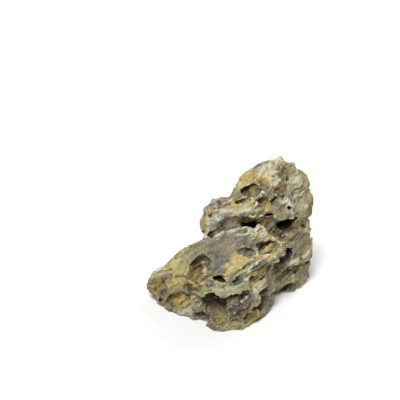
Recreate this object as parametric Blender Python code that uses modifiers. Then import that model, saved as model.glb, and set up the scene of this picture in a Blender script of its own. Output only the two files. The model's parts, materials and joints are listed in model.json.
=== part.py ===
"""Dragon stone: one piece of weathered clay stone, bitten all over by scoops and pits.

Metres, +Z up, front towards -Y.  The origin is under the middle of the stone, on its resting face.
"""

import math
import random
from collections import namedtuple

import bmesh
import bpy
import numpy as np
from mathutils import Matrix, Vector
from mathutils.bvhtree import BVHTree

MM = 0.001
BLANK_VOXEL = 2.4 * MM
STONE_VOXEL = 1.9 * MM
MOST_TRIANGLES = 9300
BEDDING = Vector((0.84, 0.25, 0.48))   # the layers' direction, which long pits and ledges follow

# The broken chunks that the stone is made of, by their corners, in millimetres.  The lowest reach below
# the ground, so that the base can be sawn flat.
CHUNKS = {
    "front_lobe": [
        (-85, 5, 17), (-80, 8, 28), (-66, 8, 39), (-44, 8, 60), (-25, 2, 77), (0, -8, 87),
        (24, -6, 91), (-82, 2, 11), (-66, -8, -5), (-56, -14, -5), (-33, -30, -5), (-18, -38, -5),
        (-12, -52, -5), (5, -53, -5), (17, -46, -5), (34, -27, -5), (46, 0, -5), (-5, -39, 60),
        (18, -33, 66), (37, -22, 60), (41, -20, 34), (39, -20, 12), (31, -4, 88), (-62, 42, -5),
        (-52, 40, 26), (30, 40, -5), (30, 40, 70),
    ],
    "bowl_side": [
        (22, -25, 64), (30, -24, 61), (40, -20, 58), (49, -11, 63), (51, -4, 69), (46, -2, 75),
        (34, -6, 80), (42, -14, 50), (30, 20, 60), (52, 20, 62), (50, 20, 72), (34, 20, 78),
    ],
    "right_flank": [
        (52, 12, 5), (70, 24, -5), (79, 36, -5), (87, 44, 4), (87, 40, 36), (84, 36, 61),
        (84, 36, 77), (31, 0, 84), (54, 8, 75), (60, 5, 43), (20, -10, 20), (20, 60, -5),
        (70, 66, 10), (60, 60, 80),
    ],
    "ledge": [
        (-33, 8, 84), (-27, 10, 95), (-26, 12, 103), (-23, 14, 110), (-16, 16, 112), (-4, 20, 112),
        (-5, -4, 101), (14, -6, 108), (30, -6, 104), (52, 0, 101), (68, 8, 93), (9, 2, 117),
        (42, 4, 122), (84, 30, 80), (86, 34, 102), (81, 32, 115), (1, 22, 115), (60, 55, 90),
        (-10, 50, 85), (30, 30, 86),
    ],
    "tip_column": [
        (-32, 8, 86), (-27, 3, 76), (-25, 0, 69), (-8, -4, 71), (-4, 2, 84), (-9, -2, 96),
        (-22, 4, 100), (-24, 30, 66), (0, 36, 70), (0, 30, 95),
    ],
    "ledge_wall": [
        (-14, 0, 98), (9, 0, 100), (-15, -2, 78), (6, -1, 82), (-10, 26, 78), (12, 26, 82),
        (12, 24, 100), (-10, 24, 98),
    ],
    "pillar": [
        (25, 4, 93), (39, 4, 93), (27, 3, 80), (44, 1, 73), (49, 8, 71), (42, 8, 93), (26, 14, 80),
        (40, 20, 80), (30, 20, 98),
    ],
    "crown": [
        (1, 22, 115), (6, 26, 127), (15, 30, 132), (33, 34, 139), (44, 40, 145), (50, 42, 147),
        (55, 40, 144), (65, 36, 134), (72, 34, 132), (77, 32, 126), (82, 32, 116), (42, 4, 118),
        (9, 4, 112), (40, 60, 122), (62, 58, 114), (10, 52, 104), (60, 20, 95),
    ],
    "back": [
        (-55, 30, -5), (-50, 52, 5), (-30, 64, -5), (20, 72, -5), (60, 66, -5), (72, 52, 60),
        (50, 64, 100), (20, 66, 104), (-2, 52, 92), (-34, 44, 42), (-22, 26, 60), (40, 20, 80),
        (-50, 20, 10), (50, 20, 5),
    ],
    "spine": [
        (0, 60, 10), (70, 66, 6), (84, 52, 50), (82, 50, 98), (68, 62, 114), (24, 66, 114),
        (-6, 56, 92), (-16, 60, 40), (30, 34, 60), (66, 34, 60),
    ],
}

# A stroke works the skin along a line: its reach, how far it lifts the stone, and how far the lift sags.
Stroke = namedtuple("Stroke", "line reach lift sag")
STROKES = {
    "crest": Stroke([(-24, -2, 75), (-8, -7, 82), (9, -9, 87), (24, -6, 89)], 7, 2.5, 0),
    "bowl_rim": Stroke(
        [(21, -29, 67), (30, -25, 64), (39, -18, 62),
         (47, -11, 64), (49, -5, 69)], 7, 6.0, 0),
    "column": Stroke([(28, 0, 88), (33, -7, 81), (39, -7, 75), (45, -6, 71)], 6, 4.5, 0),
    "lobe_edge": Stroke([(38, -19, 62), (41, -3, 36), (41, -17, 26)], 5, 3.5, 0),
    "lip": Stroke(
        [(-26, -32, 33), (-15, -39, 35), (-4, -44, 38),
         (7, -42, 40), (16, -38, 44)], 7, 6, 3),
    "pale_ridge": Stroke([(9, -41, 42), (16, -36, 52), (19, -33, 63), (30, -25, 64)], 5, 3.0, 0),
    "knob": Stroke([(-31, -28, 34), (-32, -30, 25), (-33, -32, 13)], 7, 4.0, 0),
    "low_ridge": Stroke([(-63, -12, 13), (-53, -16, 23), (-42, -22, 30), (-30, -28, 36)], 5, 3.5, 1),
    "thumb_brow": Stroke([(-39, -7, 55), (-30, -11, 60), (-23, -20, 60), (-21, -28, 55)], 5, 2.6, 0.8),
    "thumb_wall": Stroke([(-24, -26, 53), (-27, -29, 43), (-25, -32, 34)], 5, 3.0, 0),
    "slot_brow": Stroke([(-22, -29, 52), (-13, -33, 57), (-2, -39, 57)], 5, 2.5, 1),
    "left_lip": Stroke([(-70, -7, 6), (-60, -15, 4), (-50, -22, 6)], 6, 3, 0),
    "ledge_lip": Stroke(
        [(-23, 1, 81), (-17, 1, 92), (-5, -1, 104), (9, -5, 106),
         (26, -5, 106), (43, -2, 104), (58, 4, 98)], 6, 3.5, 2.5),
    "ledge_band": Stroke([(-14, 5, 105), (0, 0, 109), (14, -2, 113), (24, -2, 113)], 5, 2.4, 0.6),
    "crown_ridge": Stroke([(22, -1, 114), (30, 6, 120), (38, 12, 124), (45, 18, 128)], 5, 3.0, 0),
    "brown_knob": Stroke([(49, 27, 135), (49, 19, 128)], 8, 3.5, 0),
    "round_knob": Stroke([(65, 28, 129), (66, 23, 124)], 8, 4.5, 0),
    "pin_rim": Stroke([(53, 7, 111), (60, 7, 104)], 6, 2.5, 0),
    "streak_ledge": Stroke([(51, 2, 39), (62, 9, 40), (75, 25, 37), (83, 35, 38)], 4.5, 3.5, 0),
    "tan_ledge": Stroke([(51, 7, 75), (63, 15, 72), (76, 26, 69)], 5, 3.0, 0.5),
    "base_band": Stroke([(45, 4, 18), (57, 10, 18), (71, 23, 12)], 6, 3.0, 0),
    "low_streak": Stroke([(17, -43, 10), (25, -37, 8), (33, -29, 7)], 4, 2.5, 0),
}

# A bite is a scoop in the face: the middle of its mouth, the way it runs into the stone, the slope of its
# long side in front view in degrees, its half length, half breadth and depth, and how deep it is sunk.
Bite = namedtuple("Bite", "at into slope half sink")
BITES = {
    "thumb_pit": Bite((-31, -23, 47), (0.3, 0.85, 0.42), 74, (16, 11, 19), 0.2),
    "thumb_top": Bite((-30, -23, 49), (0.35, 0.92, 0.12), 30, (8.5, 6.5, 15), 0.35),
    "thumb_floor": Bite((-36, -24, 36), (0.35, 0.9, 0.05), 70, (11, 7.5, 7), 0.0),
    "thumb_apron": Bite((-48, -16, 35), (0.35, 0.9, -0.1), 60, (12, 9, 4.5), -0.05),
    "ribbed_scoop": Bite((-67, -3, 30), (0.5, 0.8, -0.1), 30, (12, 6, 6), 0.0),
    "left_scoop": Bite((-69, -6, 19), (0.6, 0.7, 0.2), -50, (9, 7, 8), 0.0),
    "left_hole": Bite((-71, -4, 21), (0.4, 0.9, 0.2), -50, (3, 2.6, 8), 0.6),
    "low_scoop": Bite((-48, -22, 13), (0.3, 0.8, 0.5), 15, (13, 9, 12), 0.05),
    "low_scoop_edge": Bite((-58, -15, 14), (0.35, 0.8, 0.45), 60, (6, 5, 6), 0.0),
    "knob_gap": Bite((-33, -27, 31), (0.2, 0.85, 0.5), 8, (9, 3.2, 9), 0.12),
    "under_ridge": Bite((-44, -22, 24), (0.3, 0.8, 0.5), 12, (16, 4.5, 10), 0.04),
    "nose_scoop": Bite((-15, -43, 21), (0.05, 0.92, 0.35), 5, (13, 12, 24), 0.18),
    "nose_floor": Bite((-12, -46, 16), (0.1, 0.9, 0.2), 85, (12, 9, 6), 0.0),
    "nose_left": Bite((-29, -37, 5), (0.5, 0.8, 0.2), 20, (9, 7, 6), 0.03),
    "slot": Bite((-11, -38, 49), (0.1, 0.95, 0.0), -3, (8.5, 2.4, 12), 0.2),
    "under_slot": Bite((-9, -41, 44), (0.1, 0.9, -0.1), 8, (9, 3.5, 2), 0.0),
    "under_lip": Bite((-3, -45, 33), (0.0, 0.92, 0.3), 5, (26, 4.8, 11), 0.03),
    "grey_scoop": Bite((11, -38, 51), (0.1, 0.9, 0.1), 42, (13, 4.2, 2.2), 0.0),
    "orange_scoop": Bite((27, -31, 45), (-0.2, 0.9, 0.1), 65, (11, 7, 3), 0.0),
    "orange_hole": Bite((21, -35, 48), (-0.1, 0.9, 0.15), 10, (3.6, 2.6, 10), 0.5),
    "orange_low": Bite((18, -38, 38), (-0.2, 0.9, 0.1), 15, (13, 5, 5), 0.0),
    "rim_hollow": Bite((38, -20, 53), (0.0, 0.9, 0.35), 60, (7, 4.6, 6), 0.02),
    "bowl": Bite((35, -14, 71), (-0.1, 0.9, -0.1), 18, (15, 8.5, 9), 0.05),
    "grey_crease": Bite((15, -24, 74), (0.0, 0.8, -0.4), -12, (9, 4, 5), 0.03),
    "flank_pit": Bite((54, 4, 48), (-0.05, 0.85, 0.45), 35, (9, 7, 15), 0.22),
    "flank_hole": Bite((58, 6, 50), (-0.1, 0.9, 0.3), 70, (4, 3, 14), 0.6),
    "flank_column": Bite((46, 0, 39), (-0.3, 0.9, 0.1), 85, (10, 4.5, 5), 0.0),
    "flank_low": Bite((59, 9, 28), (-0.3, 0.9, 0.2), 20, (12, 7, 10), 0.03),
    "flank_brown": Bite((69, 18, 29), (-0.3, 0.9, 0.3), 25, (8, 5, 7), 0.01),
    "flank_edge": Bite((80, 32, 32), (-0.6, 0.7, 0.2), 70, (8, 4, 5), 0.03),
    "flank_base": Bite((61, 16, 6), (-0.3, 0.8, 0.5), 15, (14, 4, 9), 0.06),
    "dark_corner": Bite((33, -28, 18), (-0.5, 0.7, 0.45), 60, (11, 7, 13), 0.1),
    "corner_hole": Bite((25, -37, 16), (-0.2, 0.9, 0.3), 0, (6, 4, 12), 0.5),
    "small_pit": Bite((8, -44, 27), (0.0, 0.9, 0.2), 0, (2.4, 2, 7), 0.5),
    "rough_scoop": Bite((10, -45, 20), (0.0, 0.9, 0.1), 80, (10, 6, 4), 0.0),
    "rough_low": Bite((19, -42, 10), (0.0, 0.9, 0.1), 30, (9, 4, 4), 0.0),
    "rough_side": Bite((2, -49, 13), (0.0, 0.9, 0.1), 85, (9, 4, 4), 0.0),
    "hollow_left": Bite((17, 5, 86), (0.15, 1.0, 0.1), 18, (7.5, 4.6, 22), 0.5),
    "hollow_right": Bite((55, 18, 83), (0.1, 1.0, 0.1), 16, (12, 5, 18), 0.5),
    "below_hollow": Bite((46, 6, 78), (0.1, 0.9, -0.1), 35, (9, 5, 3.5), 0.0),
    "brow_shadow": Bite((28, -3, 100), (0.1, 0.95, 0.2), 4, (14, 2.6, 15), 0.3),
    "crown_cleft": Bite((26, 6, 119), (0.2, 0.9, 0.2), 50, (4.5, 2.6, 8), 0.3),
    "crown_trough": Bite((20, 14, 121), (0.25, 0.9, 0.1), 34, (18, 4.6, 7), 0.0),
    "brown_band": Bite((13, 2, 117), (0.2, 0.9, -0.3), 30, (12, 4, 4), 0.0),
    "ledge_hollow": Bite((32, -1, 114), (0.2, 0.9, 0.1), 10, (9, 4.5, 4.5), 0.0),
    "ledge_groove": Bite((6, -5, 105), (0.1, 0.9, -0.2), 9, (13, 1.6, 1.6), 0.0),
    "ledge_gutter": Bite((-8, 4, 109), (0.1, 0.9, -0.4), 15, (10, 3, 3), 0.0),
    "red_pit": Bite((47, 8, 120), (0.1, 0.9, 0.3), 0, (5.5, 4, 6), 0.1),
    "slit": Bite((46, 3, 113), (0.0, 0.9, 0.2), 0, (8, 2.6, 8), 0.12),
    "pin_hole": Bite((55, 4, 105), (0.0, 0.95, 0.1), 0, (2.6, 2.4, 7), 0.4),
    "crown_dent": Bite((65, 18, 113), (0.0, 0.9, 0.0), 20, (9, 4, 3), 0.0),
    "crown_side": Bite((68, 16, 107), (-0.2, 0.9, 0.0), 10, (8, 3.5, 4), 0.0),
    "crown_knob_gap": Bite((57, 24, 130), (0.0, 0.9, 0.0), 80, (8, 2, 2.5), 0.0),
    "band_scoop": Bite((66, 8, 97), (-0.1, 0.9, -0.1), 10, (10, 4.5, 4), 0.0),
    "edge_pit": Bite((74, 27, 75), (-0.3, 0.9, 0.2), 95, (6, 3.5, 2.5), 0.0),
    "tip_pit": Bite((-18, -2, 79), (0.2, 0.9, 0.3), 60, (5, 3, 2.5), 0.0),
    "tip_dent": Bite((-19, 6, 102), (0.4, 0.9, 0.0), 80, (7, 4, 4), 0.03),
    "crest_gutter": Bite((15, -9, 88), (0.0, 0.8, -0.5), 10, (13, 2, 3), 0.0),
    "back_cave": Bite((32, 67, 62), (0.0, -0.9, 0.35), 28, (23, 10, 17), 0.15),
    "back_shelf": Bite((48, 64, 98), (-0.2, -0.9, 0.3), 20, (18, 6.5, 12), 0.1),
    "back_hollow": Bite((-14, 62, 42), (0.1, -0.9, 0.3), 33, (20, 9, 14), 0.1),
    "back_foot": Bite((46, 67, 20), (0.0, -0.9, 0.3), 14, (20, 8, 11), 0.1),
    "back_gully": Bite((6, 63, 84), (0.1, -0.9, 0.2), 46, (17, 6, 11), 0.05),
    "back_pit": Bite((66, 65, 46), (-0.2, -0.9, 0.3), 62, (9, 7, 14), 0.3),
    "back_slot": Bite((-40, 52, 22), (0.2, -0.9, 0.2), 25, (14, 4.5, 12), 0.2),
    "back_dent": Bite((66, 64, 76), (-0.3, -0.9, 0.2), 40, (11, 6, 9), 0.1),
    "back_notch": Bite((8, 69, 20), (0.0, -0.9, 0.3), 30, (9, 5, 12), 0.3),
    "crown_back": Bite((38, 58, 122), (0.0, -0.95, 0.1), 22, (15, 6, 7), 0.0),
    "right_cave": Bite((82, 50, 54), (-0.9, -0.2, 0.35), 80, (15, 10, 13), 0.1),
    "right_shelf": Bite((80, 48, 88), (-0.9, -0.1, 0.2), 60, (13, 6, 8), 0.0),
    "right_foot": Bite((81, 50, 16), (-0.9, -0.1, 0.4), 10, (14, 8, 9), 0.0),
    "left_gully": Bite((-54, 38, 24), (0.8, -0.5, 0.0), 60, (18, 8, 10), 0.0),
}

# Places that stayed nearly whole: the middle and the reach of each.
SMOOTH = {
    "shoulder": ((-19, -13, 70), 16),
    "shoulder_right": ((0, -20, 76), 15),
    "left_facet": ((-52, 1, 50), 15),
    "crown": ((34, 26, 133), 11),
    "ledge": ((-2, 0, 108), 8),
    "crest": ((11, -10, 86), 10),
    "yellow_slope": ((8, -34, 65), 9),
    "lip": ((-12, -40, 40), 11),
    "lip_right": ((5, -42, 41), 9),
    "taupe_face": ((67, 16, 58), 10),
    "hollow_floor": ((57, 11, 73), 6),
    "thumb_floor": ((-34, -22, 46), 9),
    "facet_top": ((-38, -4, 58), 9),
    "grey": ((10, -38, 50), 6),
    "rim": ((46, -10, 66), 7),
}

SIDE_BITES = 230
FRONT_CHIPS = 110


def new_object(name, mesh, collection):
    obj = bpy.data.objects.new(name, mesh)
    collection.objects.link(obj)
    return obj


def collection(name):
    made = bpy.data.collections.new(name)
    bpy.context.scene.collection.children.link(made)
    return made


def convex_chunk(bm, corners):
    verts = [bm.verts.new(Vector(corner) * MM) for corner in corners]
    hull = bmesh.ops.convex_hull(bm, input=verts)
    spare = hull["geom_interior"] + hull["geom_unused"]
    unused = {element for element in spare if isinstance(element, bmesh.types.BMVert)}
    bmesh.ops.delete(bm, geom=list(unused), context="VERTS")


def voxel_remesh(obj, voxel):
    remesh = obj.modifiers.new("grow_together", "REMESH")
    remesh.mode = "VOXEL"
    remesh.voxel_size = voxel
    return remesh


def apply_all(obj):
    """The object's modifiers made part of its mesh."""
    graph = bpy.context.evaluated_depsgraph_get()
    mesh = bpy.data.meshes.new_from_object(obj.evaluated_get(graph))
    obj.modifiers.clear()
    obj.data = mesh


def blank_stone(parts):
    """The chunks grown together into one closed skin, with its edges worn."""
    mesh = bpy.data.meshes.new("stone")
    bm = bmesh.new()
    for corners in CHUNKS.values():
        convex_chunk(bm, corners)
    bm.to_mesh(mesh)
    bm.free()
    stone = new_object("stone", mesh, parts)
    voxel_remesh(stone, BLANK_VOXEL)
    worn = stone.modifiers.new("worn_edges", "SMOOTH")
    worn.iterations = 3
    apply_all(stone)
    return stone


def skin_arrays(mesh):
    count = len(mesh.vertices)
    spots = np.empty(count * 3)
    mesh.vertices.foreach_get("co", spots)
    normals = np.empty(count * 3, dtype=np.float32)
    mesh.vertex_normals.foreach_get("vector", normals)
    return spots.reshape(-1, 3), normals.reshape(-1, 3)


def distance_to_line(spots, line):
    """How far each spot is from a line through several points, in millimetres."""
    nearest = np.full(len(spots), 1e9)
    for start, end in zip(line, line[1:]):
        a, b = np.array(start, float), np.array(end, float)
        share = np.clip((spots - a) @ (b - a) / ((b - a) @ (b - a)), 0, 1)
        nearest = np.minimum(nearest, np.linalg.norm(spots - a - share[:, None] * (b - a), axis=1))
    return nearest


def work_strokes(stone):
    """Ridges, lips and knobs raised from the skin."""
    spots, normals = skin_arrays(stone.data)
    spots = spots / MM
    moved = spots.copy()
    for stroke in STROKES.values():
        far = distance_to_line(spots, stroke.line) / stroke.reach
        weight = np.where(far < 1, (1 - far ** 2) ** 2, 0)[:, None]
        moved += weight * (normals * stroke.lift - np.array((0, 0, stroke.sag)))
    stone.data.vertices.foreach_set("co", (moved * MM).ravel())
    stone.data.update()


def egg(name, centre, along, into, half, cutters):
    """A cutter with its long side along one way and its depth along another, all in millimetres."""
    along = (along - along.dot(into) * into).normalized()
    across = into.cross(along)
    bpy.ops.mesh.primitive_ico_sphere_add(subdivisions=3 if half[0] > 8 else 2, radius=MM)
    cutter = bpy.context.object
    cutter.name = name
    bpy.context.collection.objects.unlink(cutter)
    cutters.objects.link(cutter)
    turn = Matrix((along, across, into)).transposed().to_4x4()
    cutter.data.transform(Matrix.Translation(centre * MM) @ turn @ Matrix.Diagonal((*half, 1)))
    cutter.hide_render = True
    cutter.display_type = "WIRE"


def front_bites(cutters):
    for name, bite in BITES.items():
        into = Vector(bite.into).normalized()
        slope = math.radians(bite.slope)
        along = Vector((math.cos(slope), 0, math.sin(slope)))
        egg(name, Vector(bite.at) + into * bite.half[2] * bite.sink, along, into, bite.half, cutters)


def chance_bites(stone, cutters, name, count, sizes, wanted):
    """Bites strewn over the places that are wanted, many small and few large, long along the layers."""
    chance = random.Random(name)
    tree = BVHTree.FromObject(stone, bpy.context.evaluated_depsgraph_get())
    middle = Vector((5, 12, 55)) * MM
    made = 0
    while made < count:
        out = Vector([chance.gauss(0, 1) for _ in range(3)]).normalized()
        at, normal, _, _ = tree.ray_cast(middle + out * 0.3, -out)
        if at is None or not wanted(at / MM, normal):
            continue
        size = sizes[0] * (sizes[1] / sizes[0]) ** (chance.random() ** 1.5)
        if at.y < 42 * MM:
            size = min(size, sizes[0] + 2)
        into = (-normal + Vector((0, 0, 0.5)) + 0.3 * BEDDING * chance.uniform(-1, 1)).normalized()
        half = (1.3 * size, size * chance.uniform(0.34, 0.6), size * chance.uniform(0.45, 0.8))
        egg(f"{name}_{made}", at / MM + into * half[2] * 0.12, BEDDING, into, half, cutters)
        made += 1


def faces_away(at, normal):
    """The back, the sides and the top, where the named bites don't reach."""
    return at.z > 3 and (normal.y > -0.15 or at.x > 84)


def faces_front_unwhole(at, normal):
    near = min((at - Vector(middle)).length / reach for middle, reach in SMOOTH.values())
    return at.z > 3 and normal.y < -0.1 and near > 0.9


def bite_stone(stone, cutters):
    carve = stone.modifiers.new("bites", "BOOLEAN")
    carve.operation = "DIFFERENCE"
    carve.operand_type = "COLLECTION"
    carve.collection = cutters
    carve.solver = "EXACT"
    apply_all(stone)
    voxel_remesh(stone, STONE_VOXEL)
    apply_all(stone)


def whole_places(stone):
    """A vertex group of how pitted the skin may get: little on the places that stayed whole."""
    spots, _ = skin_arrays(stone.data)
    pitted = np.ones(len(spots))
    for middle, reach in SMOOTH.values():
        far = np.linalg.norm(spots / MM - np.array(middle, float), axis=1) / reach
        pitted = np.minimum(pitted, np.clip(0.15 + far ** 3, 0, 1))
    group = stone.vertex_groups.new(name="pitted")
    for level in range(11):
        picked = np.nonzero(np.rint(pitted * 10) == level)[0]
        group.add(picked.tolist(), level / 10, "REPLACE")
    return group.name


def frame_of_layers(size, cutters):
    """An empty whose X runs along the layers; a texture hung on it is stretched by its scale."""
    empty = new_object("layers", None, cutters)
    empty.rotation_mode = "QUATERNION"
    empty.rotation_quaternion = BEDDING.to_track_quat("X", "Z")
    empty.scale = Vector(size) * MM
    return empty


def warp(stone, size, strength, cutters, name):
    """The whole skin pushed about by a soft colour cloud, so that nothing stays round or straight."""
    cloud = bpy.data.textures.new(name, "CLOUDS")
    cloud.cloud_type = "COLOR"
    cloud.noise_scale = 1.0
    cloud.noise_depth = 1
    push = stone.modifiers.new(name, "DISPLACE")
    push.texture = cloud
    push.texture_coords = "OBJECT"
    push.texture_coords_object = frame_of_layers(size, cutters)
    push.direction = "RGB_TO_XYZ"
    push.mid_level = 0.5
    push.strength = strength * MM


def scallops(stone, size, depth, sag, group, cutters, name):
    """Bowls side by side with sharp edges between them; the edges sag and overhang the bowl below."""
    bowls = bpy.data.textures.new(name, "VORONOI")
    bowls.distance_metric = "DISTANCE_SQUARED"
    bowls.noise_scale = 1.0
    bowls.noise_intensity = 1.0
    layers = frame_of_layers(size, cutters)
    for direction, strength in (("NORMAL", depth), ("Z", -sag)):
        dent = stone.modifiers.new(name + direction, "DISPLACE")
        dent.texture = bowls
        dent.texture_coords = "OBJECT"
        dent.texture_coords_object = layers
        dent.direction = direction
        dent.mid_level = 0.35
        dent.strength = strength * MM
        dent.vertex_group = group


def grain(stone, size, depth, group, cutters, name):
    """Low ridges and creases that run along the layers."""
    streaks = bpy.data.textures.new(name, "CLOUDS")
    streaks.noise_type = "HARD_NOISE"
    streaks.noise_scale = 1.0
    streaks.noise_depth = 2
    ridges = stone.modifiers.new(name, "DISPLACE")
    ridges.texture = streaks
    ridges.texture_coords = "OBJECT"
    ridges.texture_coords_object = frame_of_layers(size, cutters)
    ridges.mid_level = 0.4
    ridges.strength = depth * MM
    ridges.vertex_group = group


def flatten_base(stone, cutters):
    """Everything under the ground plane is sawn off, which leaves the flat that the stone rests on."""
    bpy.ops.mesh.primitive_cube_add(size=1)
    saw = bpy.context.object
    saw.name = "saw"
    bpy.context.collection.objects.unlink(saw)
    cutters.objects.link(saw)
    saw.data.transform(Matrix.Translation((0, 0, -0.05)) @ Matrix.Diagonal((0.4, 0.4, 0.1, 1)))
    saw.hide_render = True
    saw.display_type = "WIRE"
    cut = stone.modifiers.new("base", "BOOLEAN")
    cut.operation = "DIFFERENCE"
    cut.object = saw
    cut.solver = "EXACT"
    apply_all(stone)


def keep_largest(obj):
    """Crumbs that the bites cut off are dropped."""
    bm = bmesh.new()
    bm.from_mesh(obj.data)
    left = set(bm.verts)
    lumps = []
    while left:
        lump, edge = [], [left.pop()]
        while edge:
            vert = edge.pop()
            lump.append(vert)
            near = {link.other_vert(vert) for link in vert.link_edges} & left
            left -= near
            edge.extend(near)
        lumps.append(lump)
    lumps.sort(key=len)
    for lump in lumps[:-1]:
        bmesh.ops.delete(bm, geom=lump, context="VERTS")
    bm.to_mesh(obj.data)
    bm.free()


def simplify(stone):
    """Fewer, larger facets, most of them left where the skin bends."""
    triangles = sum(len(face.vertices) - 2 for face in stone.data.polygons)
    fewer = stone.modifiers.new("fewer_facets", "DECIMATE")
    fewer.ratio = MOST_TRIANGLES / triangles
    fewer.use_collapse_triangulate = True
    apply_all(stone)


def centre_on_base(stone):
    spots, _ = skin_arrays(stone.data)
    low, high = spots.min(axis=0), spots.max(axis=0)
    middle = (low + high) / 2
    stone.data.transform(Matrix.Translation((-middle[0], -middle[1], -low[2])))


def clay_stone():
    material = bpy.data.materials.new("clay_stone")
    material.use_nodes = True
    surface = material.node_tree.nodes["Principled BSDF"]
    surface.inputs["Base Color"].default_value = (0.33, 0.28, 0.17, 1)
    surface.inputs["Roughness"].default_value = 0.85
    return material


def main():
    for obj in list(bpy.data.objects):
        bpy.data.objects.remove(obj)
    parts = collection("dragon_stone")
    cutters = collection("cutters")
    stone = blank_stone(parts)
    work_strokes(stone)
    chance_bites(stone, cutters, "side_bite", SIDE_BITES, (4, 19), faces_away)
    chance_bites(stone, cutters, "chip", FRONT_CHIPS, (3, 9), faces_front_unwhole)
    front_bites(cutters)
    bite_stone(stone, cutters)
    group = whole_places(stone)
    warp(stone, (24, 18, 18), 5.0, cutters, "broad_warp")
    warp(stone, (9, 7, 7), 2.4, cutters, "close_warp")
    grain(stone, (46, 9, 6), 3.0, group, cutters, "grain")
    scallops(stone, (20, 9, 9), 3.6, 1.8, group, cutters, "bowls")
    grain(stone, (36, 24, 4.4), 3.4, group, cutters, "sheets")
    apply_all(stone)
    voxel_remesh(stone, STONE_VOXEL)
    apply_all(stone)
    keep_largest(stone)
    simplify(stone)
    flatten_base(stone, cutters)
    centre_on_base(stone)
    stone.data.materials.clear()
    stone.data.materials.append(clay_stone())
    for cutter in list(cutters.objects):
        bpy.data.objects.remove(cutter)
    bpy.data.collections.remove(cutters)


main()
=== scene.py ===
"""Dragon stone: one rough piece of weathered clay stone that stands by itself on a pale floor."""

import json
import math
import random
from collections import namedtuple

import bmesh
import bpy
import numpy as np
from mathutils import Matrix, Vector, noise
from mathutils.bvhtree import BVHTree

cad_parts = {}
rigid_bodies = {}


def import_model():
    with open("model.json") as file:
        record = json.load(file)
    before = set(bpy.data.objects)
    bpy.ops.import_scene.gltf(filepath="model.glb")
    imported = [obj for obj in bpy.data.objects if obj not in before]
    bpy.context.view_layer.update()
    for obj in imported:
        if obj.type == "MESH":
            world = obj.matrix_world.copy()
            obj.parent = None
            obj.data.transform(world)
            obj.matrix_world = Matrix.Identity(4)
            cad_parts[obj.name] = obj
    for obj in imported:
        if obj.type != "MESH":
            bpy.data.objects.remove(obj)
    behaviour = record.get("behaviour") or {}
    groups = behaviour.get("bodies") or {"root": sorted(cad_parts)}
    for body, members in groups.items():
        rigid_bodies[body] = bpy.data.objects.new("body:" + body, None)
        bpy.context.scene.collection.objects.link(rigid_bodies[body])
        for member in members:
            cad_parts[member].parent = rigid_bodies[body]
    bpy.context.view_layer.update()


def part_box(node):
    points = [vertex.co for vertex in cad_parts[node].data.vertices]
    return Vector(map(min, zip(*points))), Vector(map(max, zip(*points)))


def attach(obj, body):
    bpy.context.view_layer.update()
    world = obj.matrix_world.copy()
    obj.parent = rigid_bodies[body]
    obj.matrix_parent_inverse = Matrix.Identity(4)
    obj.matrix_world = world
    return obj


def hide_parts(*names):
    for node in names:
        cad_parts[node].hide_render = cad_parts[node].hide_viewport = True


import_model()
bpy.ops.object.select_all(action="DESELECT")

# ---- The stone's body -------------------------------------------------------------------------------------
# A lump of hard clay stone, broken along its layers and then eaten by water into scoops, pits and thin edges.
# It is put together from broken chunks, carved bite by bite, and then weathered all over.

MM = 0.001
BEDDING = Vector((0.84, 0.25, 0.48))   # the layers' direction, which long pits and ledges follow

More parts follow.
